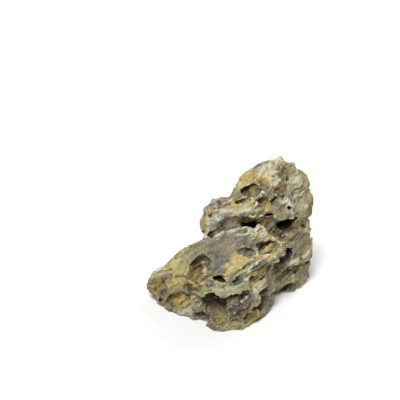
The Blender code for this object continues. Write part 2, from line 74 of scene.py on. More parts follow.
# The broken chunks, by their corners, in millimetres.  The lowest reach below the ground, so that the base
# can be sawn flat.
CHUNKS = {
    "front_lobe": [
        (-85, 5, 17), (-80, 8, 28), (-66, 8, 39), (-44, 8, 60), (-25, 2, 77), (0, -8, 87),
        (24, -6, 91), (-82, 2, 11), (-66, -8, -5), (-56, -14, -5), (-33, -30, -5), (-18, -38, -5),
        (-12, -52, -5), (5, -53, -5), (17, -46, -5), (34, -27, -5), (46, 0, -5), (-5, -39, 60),
        (18, -33, 66), (37, -22, 60), (41, -20, 34), (39, -20, 12), (31, -4, 88), (-62, 42, -5),
        (-52, 40, 26), (30, 40, -5), (30, 40, 70),
    ],
    "bowl_side": [
        (22, -25, 64), (30, -24, 61), (40, -20, 58), (49, -11, 63), (51, -4, 69), (46, -2, 75),
        (34, -6, 80), (42, -14, 50), (30, 20, 60), (52, 20, 62), (50, 20, 72), (34, 20, 78),
    ],
    "right_flank": [
        (52, 12, 5), (70, 24, -5), (79, 36, -5), (87, 44, 4), (87, 40, 36), (84, 36, 61),
        (84, 36, 77), (31, 0, 84), (54, 8, 75), (60, 5, 43), (20, -10, 20), (20, 60, -5),
        (70, 66, 10), (60, 60, 80),
    ],
    "ledge": [
        (-33, 8, 84), (-27, 10, 95), (-26, 12, 103), (-23, 14, 110), (-16, 16, 112), (-4, 20, 112),
        (-5, -4, 101), (14, -6, 108), (30, -6, 104), (52, 0, 101), (68, 8, 93), (9, 2, 117),
        (42, 4, 122), (84, 30, 80), (86, 34, 102), (81, 32, 115), (1, 22, 115), (60, 55, 90),
        (-10, 50, 85), (30, 30, 86),
    ],
    "tip_column": [
        (-32, 8, 86), (-27, 3, 76), (-25, 0, 69), (-8, -4, 71), (-4, 2, 84), (-9, -2, 96),
        (-22, 4, 100), (-24, 30, 66), (0, 36, 70), (0, 30, 95),
    ],
    "ledge_wall": [
        (-14, 0, 98), (9, 0, 100), (-15, -2, 78), (6, -1, 82), (-10, 26, 78), (12, 26, 82),
        (12, 24, 100), (-10, 24, 98),
    ],
    "pillar": [
        (25, 4, 93), (39, 4, 93), (27, 3, 80), (44, 1, 73), (49, 8, 71), (42, 8, 93), (26, 14, 80),
        (40, 20, 80), (30, 20, 98),
    ],
    "crown": [
        (1, 22, 115), (6, 26, 127), (15, 30, 132), (33, 34, 139), (44, 40, 145), (50, 42, 147),
        (55, 40, 144), (65, 36, 134), (72, 34, 132), (77, 32, 126), (82, 32, 116), (42, 4, 118),
        (9, 4, 112), (40, 60, 122), (62, 58, 114), (10, 52, 104), (60, 20, 95),
    ],
    "back": [
        (-55, 30, -5), (-50, 52, 5), (-30, 64, -5), (20, 72, -5), (60, 66, -5), (72, 52, 60),
        (50, 64, 100), (20, 66, 104), (-2, 52, 92), (-34, 44, 42), (-22, 26, 60), (40, 20, 80),
        (-50, 20, 10), (50, 20, 5),
    ],
    "spine": [
        (0, 60, 10), (70, 66, 6), (84, 52, 50), (82, 50, 98), (68, 62, 114), (24, 66, 114),
        (-6, 56, 92), (-16, 60, 40), (30, 34, 60), (66, 34, 60),
    ],
}

# The front is marked out by points across and down in a view of 400 by 400, from an eye that looks
# down at the stone. The origin of the building place shows at FOOT_POINT.
VIEW = 400
LENS, FILM = 85, 36
LOOK_DOWN = math.radians(27)
EYE_AWAY = 0.944
FOOT_POINT = (228.5, 301.5)
INNER_POINT = (232, 250)   # well inside the outline
DRAWN_IN = 0.03   # the share of the way to it that a point which misses the stone moves, again and again

# A stroke works the skin along a line of points: its reach, how far it lifts the stone, and how far the
# lift sags.
Stroke = namedtuple("Stroke", "line reach lift sag")
STROKES = {
    "crest": Stroke([(205, 237), (222, 233), (240, 230), (255, 226)], 7, 2.5, 0),
    "bowl_rim": Stroke([(253, 258), (262, 259), (271, 257), (279, 251), (281, 244)], 7, 6.0, 0),
    "column": Stroke([(259, 224), (264, 234), (271, 240), (277, 243)], 6, 4.5, 0),
    "lobe_edge": Stroke([(270, 258), (271, 272), (272, 288)], 5, 3.5, 0),
    "lip": Stroke([(203, 291), (214, 293), (226, 293), (238, 290), (247, 284)], 7, 6, 3),
    "pale_ridge": Stroke([(240, 288), (247, 276), (251, 264), (262, 259)], 5, 3.0, 0),
    "knob": Stroke([(197, 288), (196, 297), (195, 308)], 7, 4.0, 0),
    "low_ridge": Stroke([(165, 297), (175, 291), (186, 288), (198, 286)], 5, 3.5, 1),
    "thumb_brow": Stroke([(189, 258), (198, 255), (206, 260), (208, 269)], 5, 2.6, 0.8),
    "thumb_wall": Stroke([(205, 270), (202, 280), (204, 290)], 5, 3.0, 0),
    "slot_brow": Stroke([(207, 272), (216, 270), (228, 273)], 5, 2.5, 1),
    "left_lip": Stroke([(158, 300), (168, 306), (178, 309)], 6, 3, 0),
    "ledge_lip": Stroke(
        [(206, 230), (212, 220), (225, 210), (240, 209.5),
         (258, 209.5), (275, 210.5), (290, 213)], 6, 3.5, 2.5),
    "ledge_band": Stroke([(215, 206), (230, 205), (245, 202), (256, 202)], 5, 2.4, 0.6),
    "crown_ridge": Stroke([(254, 200), (262, 191), (270, 185), (277, 178)], 5, 3.0, 0),
    "brown_knob": Stroke([(281, 168), (281, 178)], 8, 3.5, 0),
    "round_knob": Stroke([(297, 173), (298, 180)], 8, 4.5, 0),
    "pin_rim": Stroke([(286, 200), (292, 206)], 6, 2.5, 0),
    "streak_ledge": Stroke([(281, 267), (292, 263), (303, 257), (310, 251)], 4.5, 3.5, 0),
    "tan_ledge": Stroke([(282, 233), (293, 231), (305, 228)], 5, 3.0, 0.5),
    "base_band": Stroke([(274, 284), (285, 281), (298, 279)], 6, 3.0, 0),
    "low_streak": Stroke([(248, 318), (256, 316), (263, 312)], 4, 2.5, 0),
}

# A bite is a scoop in a face: the middle of its mouth, the way it runs into the stone, the slope of its long
# side in front view in degrees, its half length, half breadth and depth, and how deep it is sunk. On the
# front the middle is a point of the view, on the other faces two level measures in millimetres.
Bite = namedtuple("Bite", "at into slope half sink face", defaults=["front"])
BITES = {
    "thumb_pit": Bite((197, 273), (0.3, 0.85, 0.42), 74, (16, 11, 19), 0.2),
    "thumb_top": Bite((198, 271), (0.35, 0.92, 0.12), 30, (8.5, 6.5, 15), 0.35),
    "thumb_floor": Bite((192, 284), (0.35, 0.9, 0.05), 70, (11, 7.5, 7), 0.0),
    "thumb_apron": Bite((180, 280), (0.35, 0.9, -0.1), 60, (12, 9, 4.5), -0.05),
    "ribbed_scoop": Bite((161, 277), (0.5, 0.8, -0.1), 30, (12, 6, 6), 0.0),
    "left_scoop": Bite((159, 288), (0.6, 0.7, 0.2), -50, (9, 7, 8), 0.0),
    "left_hole": Bite((157, 286), (0.4, 0.9, 0.2), -50, (3, 2.6, 8), 0.6),
    "low_scoop": Bite((180, 303), (0.3, 0.8, 0.5), 15, (13, 9, 12), 0.05),
    "low_scoop_edge": Bite((170, 298), (0.35, 0.8, 0.45), 60, (6, 5, 6), 0.0),
    "knob_gap": Bite((195, 290), (0.2, 0.85, 0.5), 8, (9, 3.2, 9), 0.12),
    "under_ridge": Bite((184, 293), (0.3, 0.8, 0.5), 12, (16, 4.5, 10), 0.04),
    "nose_scoop": Bite((214, 308), (0.05, 0.92, 0.35), 5, (13, 12, 24), 0.18),
    "nose_floor": Bite((217, 314), (0.1, 0.9, 0.2), 85, (12, 9, 6), 0.0),
    "nose_left": Bite((199, 318), (0.5, 0.8, 0.2), 20, (9, 7, 6), 0.03),
    "slot": Bite((219, 279.5), (0.1, 0.95, 0.0), -3, (8.5, 2.4, 12), 0.2),
    "under_slot": Bite((221, 286), (0.1, 0.9, -0.1), 8, (9, 3.5, 2), 0.0),
    "under_lip": Bite((227, 298), (0.0, 0.92, 0.3), 5, (26, 4.8, 11), 0.03),
    "grey_scoop": Bite((242, 278), (0.1, 0.9, 0.1), 42, (13, 4.2, 2.2), 0.0),
    "orange_scoop": Bite((259, 279), (-0.2, 0.9, 0.1), 65, (11, 7, 3), 0.0),
    "orange_hole": Bite((252, 279), (-0.1, 0.9, 0.15), 10, (3.6, 2.6, 10), 0.5),
    "orange_low": Bite((249, 290), (-0.2, 0.9, 0.1), 15, (13, 5, 5), 0.0),
    "rim_hollow": Bite((270, 266), (0.0, 0.9, 0.35), 60, (7, 4.6, 6), 0.02),
    "bowl": Bite((267, 247), (-0.1, 0.9, -0.1), 18, (15, 8.5, 9), 0.05),
    "grey_crease": Bite((246, 249), (0.0, 0.8, -0.4), -12, (9, 4, 5), 0.03),
    "flank_pit": Bite((284, 258), (-0.05, 0.85, 0.45), 35, (9, 7, 15), 0.22),
    "flank_hole": Bite((288, 255), (-0.1, 0.9, 0.3), 70, (4, 3, 14), 0.6),
    "flank_column": Bite((276, 268), (-0.3, 0.9, 0.1), 85, (10, 4.5, 5), 0.0),
    "flank_low": Bite((288, 273), (-0.3, 0.9, 0.2), 20, (12, 7, 10), 0.03),
    "flank_brown": Bite((297, 267), (-0.3, 0.9, 0.3), 25, (8, 5, 7), 0.01),
    "flank_edge": Bite((307, 258), (-0.6, 0.7, 0.2), 70, (8, 4, 5), 0.03),
    "flank_base": Bite((288, 288), (-0.3, 0.8, 0.5), 15, (14, 4, 9), 0.06),
    "dark_corner": Bite((264, 302), (-0.5, 0.7, 0.45), 60, (11, 7, 13), 0.1),
    "corner_hole": Bite((256, 308), (-0.2, 0.9, 0.3), 0, (6, 4, 12), 0.5),
    "small_pit": Bite((239, 303), (0.0, 0.9, 0.2), 0, (2.4, 2, 7), 0.5),
    "rough_scoop": Bite((241, 310), (0.0, 0.9, 0.1), 80, (10, 6, 4), 0.0),
    "rough_low": Bite((250, 317), (0.0, 0.9, 0.1), 30, (9, 4, 4), 0.0),
    "rough_side": Bite((232, 318), (0.0, 0.9, 0.1), 85, (9, 4, 4), 0.0),
    "hollow_left": Bite((247, 223), (0.15, 1.0, 0.1), 18, (7.5, 4.6, 22), 0.5),
    "hollow_right": Bite((286, 220), (0.1, 1.0, 0.1), 16, (12, 5, 18), 0.5),
    "below_hollow": Bite((277, 230), (0.1, 0.9, -0.1), 35, (9, 5, 3.5), 0.0),
    "brow_shadow": Bite((259.5, 214), (0.1, 0.95, 0.2), 4, (14, 2.6, 15), 0.3),
    "crown_cleft": Bite((258, 192), (0.2, 0.9, 0.2), 50, (4.5, 2.6, 8), 0.3),
    "crown_trough": Bite((251, 186.5), (0.25, 0.9, 0.1), 34, (18, 4.6, 7), 0.0),
    "brown_band": Bite((244, 196), (0.2, 0.9, -0.3), 30, (12, 4, 4), 0.0),
    "ledge_hollow": Bite((264, 200), (0.2, 0.9, 0.1), 10, (9, 4.5, 4.5), 0.0),
    "ledge_groove": Bite((236, 211), (0.1, 0.9, -0.2), 9, (13, 1.6, 1.6), 0.0),
    "ledge_gutter": Bite((222, 203), (0.1, 0.9, -0.4), 15, (10, 3, 3), 0.0),
    "red_pit": Bite((280, 190), (0.1, 0.9, 0.3), 0, (5.5, 4, 6), 0.1),
    "slit": Bite((279, 199), (0.0, 0.9, 0.2), 0, (8, 2.6, 8), 0.12),
    "pin_hole": Bite((287.5, 206.5), (0.0, 0.95, 0.1), 0, (2.6, 2.4, 7), 0.4),
    "crown_dent": Bite((297, 192), (0.0, 0.9, 0.0), 20, (9, 4, 3), 0.0),
    "crown_side": Bite((300, 199), (-0.2, 0.9, 0.0), 10, (8, 3.5, 4), 0.0),
    "crown_knob_gap": Bite((289, 174), (0.0, 0.9, 0.0), 80, (8, 2, 2.5), 0.0),
    "band_scoop": Bite((298, 212), (-0.1, 0.9, -0.1), 10, (10, 4.5, 4), 0.0),
    "edge_pit": Bite((304, 223), (-0.3, 0.9, 0.2), 95, (6, 3.5, 2.5), 0.0),
    "tip_pit": Bite((211, 233), (0.2, 0.9, 0.3), 60, (5, 3, 2.5), 0.0),
    "tip_dent": Bite((210, 208), (0.4, 0.9, 0.0), 80, (7, 4, 4), 0.03),
    "crest_gutter": Bite((246, 229), (0.0, 0.8, -0.5), 10, (13, 2, 3), 0.0),
    "back_cave": Bite((32, 62), (0.0, -0.9, 0.35), 28, (23, 10, 17), 0.15, "back"),
    "back_shelf": Bite((48, 98), (-0.2, -0.9, 0.3), 20, (18, 6.5, 12), 0.1, "back"),
    "back_hollow": Bite((-14, 42), (0.1, -0.9, 0.3), 33, (20, 9, 14), 0.1, "back"),
    "back_foot": Bite((46, 20), (0.0, -0.9, 0.3), 14, (20, 8, 11), 0.1, "back"),
    "back_gully": Bite((6, 84), (0.1, -0.9, 0.2), 46, (17, 6, 11), 0.05, "back"),
    "back_pit": Bite((66, 46), (-0.2, -0.9, 0.3), 62, (9, 7, 14), 0.3, "back"),
    "back_slot": Bite((-40, 22), (0.2, -0.9, 0.2), 25, (14, 4.5, 12), 0.2, "back"),
    "back_dent": Bite((66, 76), (-0.3, -0.9, 0.2), 40, (11, 6, 9), 0.1, "back"),
    "back_notch": Bite((8, 20), (0.0, -0.9, 0.3), 30, (9, 5, 12), 0.3, "back"),
    "crown_back": Bite((38, 122), (0.0, -0.95, 0.1), 22, (15, 6, 7), 0.0, "back"),
    "right_cave": Bite((50, 54), (-0.9, -0.2, 0.35), 80, (15, 10, 13), 0.1, "right"),
    "right_shelf": Bite((48, 88), (-0.9, -0.1, 0.2), 60, (13, 6, 8), 0.0, "right"),
    "right_foot": Bite((50, 16), (-0.9, -0.1, 0.4), 10, (14, 8, 9), 0.0, "right"),
    "left_gully": Bite((38, 24), (0.8, -0.5, 0.0), 60, (18, 8, 10), 0.0, "left"),
}

# Places that stayed nearly whole: the point at the middle and the reach of each.
SMOOTH = {
    "shoulder": ((210, 247), 16),
    "shoulder_right": ((230, 245), 15),
    "left_facet": ((176, 258), 15),
    "crown": ((265, 170), 11),
    "ledge": ((228, 206), 8),
    "crest": ((242, 231), 10),
    "yellow_slope": ((239, 263), 9),
    "lip": ((218, 289), 11),
    "lip_right": ((236, 289), 9),
    "taupe_face": ((297, 243), 10),
    "hollow_floor": ((288, 232), 6),
    "thumb_floor": ((194, 274), 9),
    "facet_top": ((190, 253), 9),
    "grey": ((241, 279), 6),
    "rim": ((278, 249), 7),
}


def apply_modifiers(piece):
    bpy.context.view_layer.objects.active = piece
    for modifier in list(piece.modifiers):
        bpy.ops.object.modifier_apply(modifier=modifier.name)


def convex_chunk(name, corners):
    mesh = bpy.data.meshes.new(name)
    mesh.from_pydata([Vector(corner) * MM for corner in corners], [], [])
    chunk = bpy.data.objects.new(name, mesh)
    bpy.context.collection.objects.link(chunk)
    bpy.context.view_layer.objects.active = chunk
    chunk.select_set(True)
    bpy.ops.object.mode_set(mode="EDIT")
    bpy.ops.mesh.select_all(action="SELECT")
    bpy.ops.mesh.convex_hull(delete_unused=True, join_triangles=False)
    bpy.ops.object.mode_set(mode="OBJECT")
    return chunk


def grow_together(piece, voxel):
    remesh = piece.modifiers.new("grow_together", "REMESH")
    remesh.mode = "VOXEL"
    remesh.voxel_size = voxel * MM
    apply_modifiers(piece)


def sight(point):
    """The way from the eye through a point of the view."""
    across, down = ((part - VIEW / 2) / (VIEW * LENS / FILM) for part in point)
    ahead = Vector((0, math.cos(LOOK_DOWN), -math.sin(LOOK_DOWN)))
    up = Vector((0, math.sin(LOOK_DOWN), math.cos(LOOK_DOWN)))
    return Vector((across, 0, 0)) + ahead - down * up


EYE = -EYE_AWAY * sight(FOOT_POINT)
OUTSIDE = 200 * MM


def level_line(at, face):
    """A start outside the stone and the way to one of its other faces, at a height."""
    along, height = (part * MM for part in at)
    if face == "back":
        return Vector((along, OUTSIDE, height)), Vector((0, -1, 0))
    if face == "right":
        return Vector((OUTSIDE, along, height)), Vector((-1, 0, 0))
    return Vector((-OUTSIDE, along, height)), Vector((1, 0, 0))


def on_skin(tree, at, face="front", eye=EYE):
    """The place on the skin that is meant, in whole millimetres."""
    if face == "front":
        start, way = eye, sight(at).normalized()
    else:
        start, way = level_line(at, face)
    spot = tree.ray_cast(start, way)[0]
    if spot is None:
        drawn_in = [part + (inner - part) * DRAWN_IN for part, inner in zip(at, INNER_POINT)]
        return on_skin(tree, drawn_in, face, eye)
    return tuple(round(part) for part in spot / MM)


def skin_tree(piece):
    return BVHTree.FromObject(piece, bpy.context.evaluated_depsgraph_get())


def pattern_of(piece):
    """A copy with its own mesh, to find marks on."""
    pattern = piece.copy()
    pattern.data = piece.data.copy()
    bpy.context.collection.objects.link(pattern)
    return pattern


BLANK_GRAIN = 2.4


def grow_blank(piece):
    """The joined chunks grown into one closed skin, with its edges worn."""
    grow_together(piece, BLANK_GRAIN)
    worn = piece.modifiers.new("worn_edges", "SMOOTH")
    worn.iterations = 3
    apply_modifiers(piece)


for name, corners in CHUNKS.items():
    stone = convex_chunk(name, corners)
bpy.ops.object.join()
stone = bpy.context.object
stone.name = "dragon_stone"

# The marks are set out on a pattern of the blank, whose facets are plain triangles. The stone itself is grown
# from the same facets joined in pairs.
pattern = pattern_of(stone)
grow_blank(pattern)
blank = skin_tree(pattern)
bpy.data.objects.remove(pattern)
bpy.context.view_layer.objects.active = stone
bpy.ops.object.mode_set(mode="EDIT")
bpy.ops.mesh.select_all(action="SELECT")
bpy.ops.mesh.tris_convert_to_quads()
bpy.ops.object.mode_set(mode="OBJECT")
grow_blank(stone)
strokes = [
    stroke._replace(line=[on_skin(blank, point) for point in stroke.line]) for stroke in STROKES.values()
]
bites = {name: bite._replace(at=on_skin(blank, bite.at, bite.face)) for name, bite in BITES.items()}
whole = [(on_skin(blank, point), reach) for point, reach in SMOOTH.values()]


def skin_arrays(mesh):
    count = len(mesh.vertices)
    spots = np.empty(count * 3)
    mesh.vertices.foreach_get("co", spots)
    normals = np.empty(count * 3, dtype=np.float32)
    mesh.vertex_normals.foreach_get("vector", normals)
    return spots.reshape(-1, 3), normals.reshape(-1, 3)


def distance_to_line(spots, line):
    """How far each spot is from a line through several points, in millimetres."""
    nearest = np.full(len(spots), 1e9)
    for start, end in zip(line, line[1:]):
        a, b = np.array(start, float), np.array(end, float)
        share = np.clip((spots - a) @ (b - a) / ((b - a) @ (b - a)), 0, 1)
        nearest = np.minimum(nearest, np.linalg.norm(spots - a - share[:, None] * (b - a), axis=1))
    return nearest


def work_strokes(piece):
    """Ridges, lips and knobs raised from the skin, as with a sculpting brush."""
    spots, normals = skin_arrays(piece.data)
    spots = spots / MM
    moved = spots.copy()
    for stroke in strokes:
        far = distance_to_line(spots, stroke.line) / stroke.reach
        weight = np.where(far < 1, (1 - far ** 2) ** 2, 0)[:, None]
        moved += weight * (normals * stroke.lift - np.array((0, 0, stroke.sag)))
    piece.data.vertices.foreach_set("co", (moved * MM).ravel())
    piece.data.update()


cutters = bpy.data.collections.new("cutters")
bpy.context.scene.collection.children.link(cutters)


def egg(name, centre, along, into, half):
    """A cutter with its long side along one way and its depth along another, all in millimetres."""
    along = (along - along.dot(into) * into).normalized()
    across = into.cross(along)
    bpy.ops.mesh.primitive_ico_sphere_add(subdivisions=3 if half[0] > 8 else 2, radius=MM)
    cutter = bpy.context.object
    cutter.name = name
    bpy.context.collection.objects.unlink(cutter)
    cutters.objects.link(cutter)
    turn = Matrix((along, across, into)).transposed().to_4x4()
    cutter.data.transform(Matrix.Translation(centre * MM) @ turn @ Matrix.Diagonal((*half, 1)))


FRONT_DEPTH = 42   # nearer the front than this, chance bites stay small and leave room for the named ones


def chance_bites(piece, name, count, sizes, wanted):
    """Bites strewn over the places that are wanted, many small and few large, long along the layers."""
    chance = random.Random(name)
    tree = skin_tree(piece)
    middle = Vector((5, 12, 55)) * MM
    start_away = 0.3
    made = 0
    while made < count:
        out = Vector([chance.gauss(0, 1) for _ in range(3)]).normalized()
        at, normal, _, _ = tree.ray_cast(middle + out * start_away, -out)
        if at is None or not wanted(at / MM, normal):
            continue
        size = sizes[0] * (sizes[1] / sizes[0]) ** (chance.random() ** 1.5)
        if at.y < FRONT_DEPTH * MM:
            size = min(size, sizes[0] + 2)
        into = (-normal + Vector((0, 0, 0.5)) + 0.3 * BEDDING * chance.uniform(-1, 1)).normalized()
        half = (1.3 * size, size * chance.uniform(0.34, 0.6), size * chance.uniform(0.45, 0.8))
        egg(f"{name}_{made}", at / MM + into * half[2] * 0.12, BEDDING, into, half)
        made += 1


def faces_away(at, normal):
    return at.z > 3 and (normal.y > -0.15 or at.x > 84)


def faces_front_unwhole(at, normal):
    near = min((at - Vector(middle)).length / reach for middle, reach in whole)
    return at.z > 3 and normal.y < -0.1 and near > 0.9


def whole_places(piece):
    """A vertex group of how pitted the skin may get: little on the places that stayed whole."""
    spots, _ = skin_arrays(piece.data)
    pitted = np.ones(len(spots))
    for middle, reach in whole:
        far = np.linalg.norm(spots / MM - np.array(middle, float), axis=1) / reach
        pitted = np.minimum(pitted, np.clip(0.15 + far ** 3, 0, 1))
    group = piece.vertex_groups.new(name="pitted")
    for level in range(11):
        picked = np.nonzero(np.rint(pitted * 10) == level)[0]
        group.add(picked.tolist(), level / 10, "REPLACE")


def layers_frame(size):
    """An empty whose X runs along the layers; a texture hung on it is stretched by its scale."""
    empty = bpy.data.objects.new("layers", None)
    cutters.objects.link(empty)
    empty.rotation_mode = "QUATERNION"
    empty.rotation_quaternion = BEDDING.to_track_quat("X", "Z")
    empty.scale = Vector(size) * MM
    return empty


def weather(piece, name, texture, size, strength, direction="NORMAL", level=0.5, only_pitted=True):
    """The skin pushed in or out, or about, by a texture that is stretched along the layers."""
    push = piece.modifiers.new(name, "DISPLACE")
    push.texture = texture
    push.texture_coords = "OBJECT"
    push.texture_coords_object = layers_frame(size)
    push.direction = direction
    push.mid_level = level
    push.strength = strength * MM
    if only_pitted:
        push.vertex_group = "pitted"


def cloud(name, depth, kind="GRAYSCALE", hard=False):
    texture = bpy.data.textures.new(name, "CLOUDS")
    texture.cloud_type = kind
    texture.noise_type = "HARD_NOISE" if hard else "SOFT_NOISE"
    texture.noise_scale = 1.0
    texture.noise_depth = depth
    return texture


def bowls(name):
    texture = bpy.data.textures.new(name, "VORONOI")
    texture.distance_metric = "DISTANCE_SQUARED"
    texture.noise_scale = 1.0
    texture.noise_intensity = 1.0
    return texture


def keep_largest(piece):
    """Crumbs that the bites cut off are dropped."""
    bm = bmesh.new()
    bm.from_mesh(piece.data)
    left = set(bm.verts)
    lumps = []
    while left:
        lump, edge = [], [left.pop()]
        while edge:
            vert = edge.pop()
            lump.append(vert)
            near = {link.other_vert(vert) for link in vert.link_edges} & left
            left -= near
            edge.extend(near)
        lumps.append(lump)
    lumps.sort(key=len)
    for lump in lumps[:-1]:
        bmesh.ops.delete(bm, geom=lump, context="VERTS")
    bm.to_mesh(piece.data)
    bm.free()


SIDE_BITES = 230
FRONT_CHIPS = 110
CARVED_GRAIN = 1.2
WORN_GRAIN = 1.1
work_strokes(stone)
chance_bites(stone, "side_bite", SIDE_BITES, (4, 19), faces_away)
chance_bites(stone, "chip", FRONT_CHIPS, (3, 9), faces_front_unwhole)
for name, bite in bites.items():
    into = Vector(bite.into).normalized()
    slope = math.radians(bite.slope)
    along = Vector((math.cos(slope), 0, math.sin(slope)))
    egg(name, Vector(bite.at) + into * bite.half[2] * bite.sink, along, into, bite.half)
carve = stone.modifiers.new("bites", "BOOLEAN")
carve.operation = "DIFFERENCE"
carve.operand_type = "COLLECTION"
carve.collection = cutters
carve.solver = "EXACT"
apply_modifiers(stone)
grow_together(stone, CARVED_GRAIN)
whole_places(stone)
warp = cloud("broad_warp", 1, "COLOR")
weather(stone, "broad_warp", warp, (24, 18, 18), 5.0, "RGB_TO_XYZ", only_pitted=False)
weather(stone, "close_warp", cloud("close_warp", 1, "COLOR"), (9, 7, 7), 2.4, "RGB_TO_XYZ", only_pitted=False)
weather(stone, "grain", cloud("grain", 2, hard=True), (46, 9, 6), 3.0, level=0.4)
bowl_texture = bowls("bowls")
weather(stone, "bowls", bowl_texture, (20, 9, 9), 3.6, level=0.35)
weather(stone, "bowl_edges", bowl_texture, (20, 9, 9), -1.8, "Z", level=0.35)
weather(stone, "sheets", cloud("sheets", 2, hard=True), (36, 24, 4.4), 3.4, level=0.4)
apply_modifiers(stone)
grow_together(stone, WORN_GRAIN)
whole_places(stone)
small = bowls("small_bowls")
weather(stone, "small_bowls", small, (10, 5, 3.6), 1.1, level=0.35)
weather(stone, "small_bowl_edges", small, (10, 5, 3.6), -0.5, "Z", level=0.35)
weather(stone, "flutes", cloud("flutes", 2, hard=True), (22, 14, 2.2), 1.7, level=0.4)
weather(stone, "grit", cloud("grit", 2), (2.6, 2.2, 2.2), 0.7, only_pitted=False)
apply_modifiers(stone)
keep_largest(stone)

# The underside is sawn level.
saw_cut = stone.modifiers.new("base", "BOOLEAN")
bpy.ops.mesh.primitive_cube_add(size=1)
saw = bpy.context.object
saw_wide, saw_deep = 400 * MM, 100 * MM
saw_size = Matrix.Diagonal((saw_wide, saw_wide, saw_deep, 1))
saw.data.transform(Matrix.Translation((0, 0, -saw_deep / 2)) @ saw_size)
saw_cut.operation = "DIFFERENCE"
saw_cut.object = saw
saw_cut.solver = "EXACT"
apply_modifiers(stone)
bpy.data.objects.remove(saw)
for cutter in list(cutters.objects):
    bpy.data.objects.remove(cutter)
bpy.data.collections.remove(cutters)
MOST_TRIANGLES = 196000
THINNED_TO = 194000
triangles = sum(len(face.vertices) - 2 for face in stone.data.polygons)
if triangles > MOST_TRIANGLES:
    fewer = stone.modifiers.new("fewer_facets", "DECIMATE")
    fewer.ratio = THINNED_TO / triangles
    fewer.use_collapse_triangulate = True
    apply_modifiers(stone)

# It is set down in the place of the plain stone, and fills the same box.
spots, _ = skin_arrays(stone.data)
low, high = spots.min(axis=0), spots.max(axis=0)
box_low, box_high = (np.array(corner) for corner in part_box("stone"))
fitted = box_low + (spots - low) * (box_high - box_low) / (high - low)
stone.data.vertices.foreach_set("co", fitted.ravel())
stone.data.update()

# ---- The stone's colours ----------------------------------------------------------------------------------
# The clay is stained through: yellow and brown ochre in the scoops, taupe and slate on the worn faces, pale
# cream on the thin edges and the crown, partly wear and partly painted highlight, and painted shade, near
# black, deep in the holes and in the creases.

PAINTS = {
    "taupe": (130, 121, 107), "slate": (97, 103, 103), "yellow": (208, 182, 100), "ochre": (152, 122, 54),
    "rust": (124, 92, 62), "peach": (180, 154, 118), "cream": (242, 238, 210), "khaki": (166, 163, 116),
    "umber": (62, 53, 35),
}
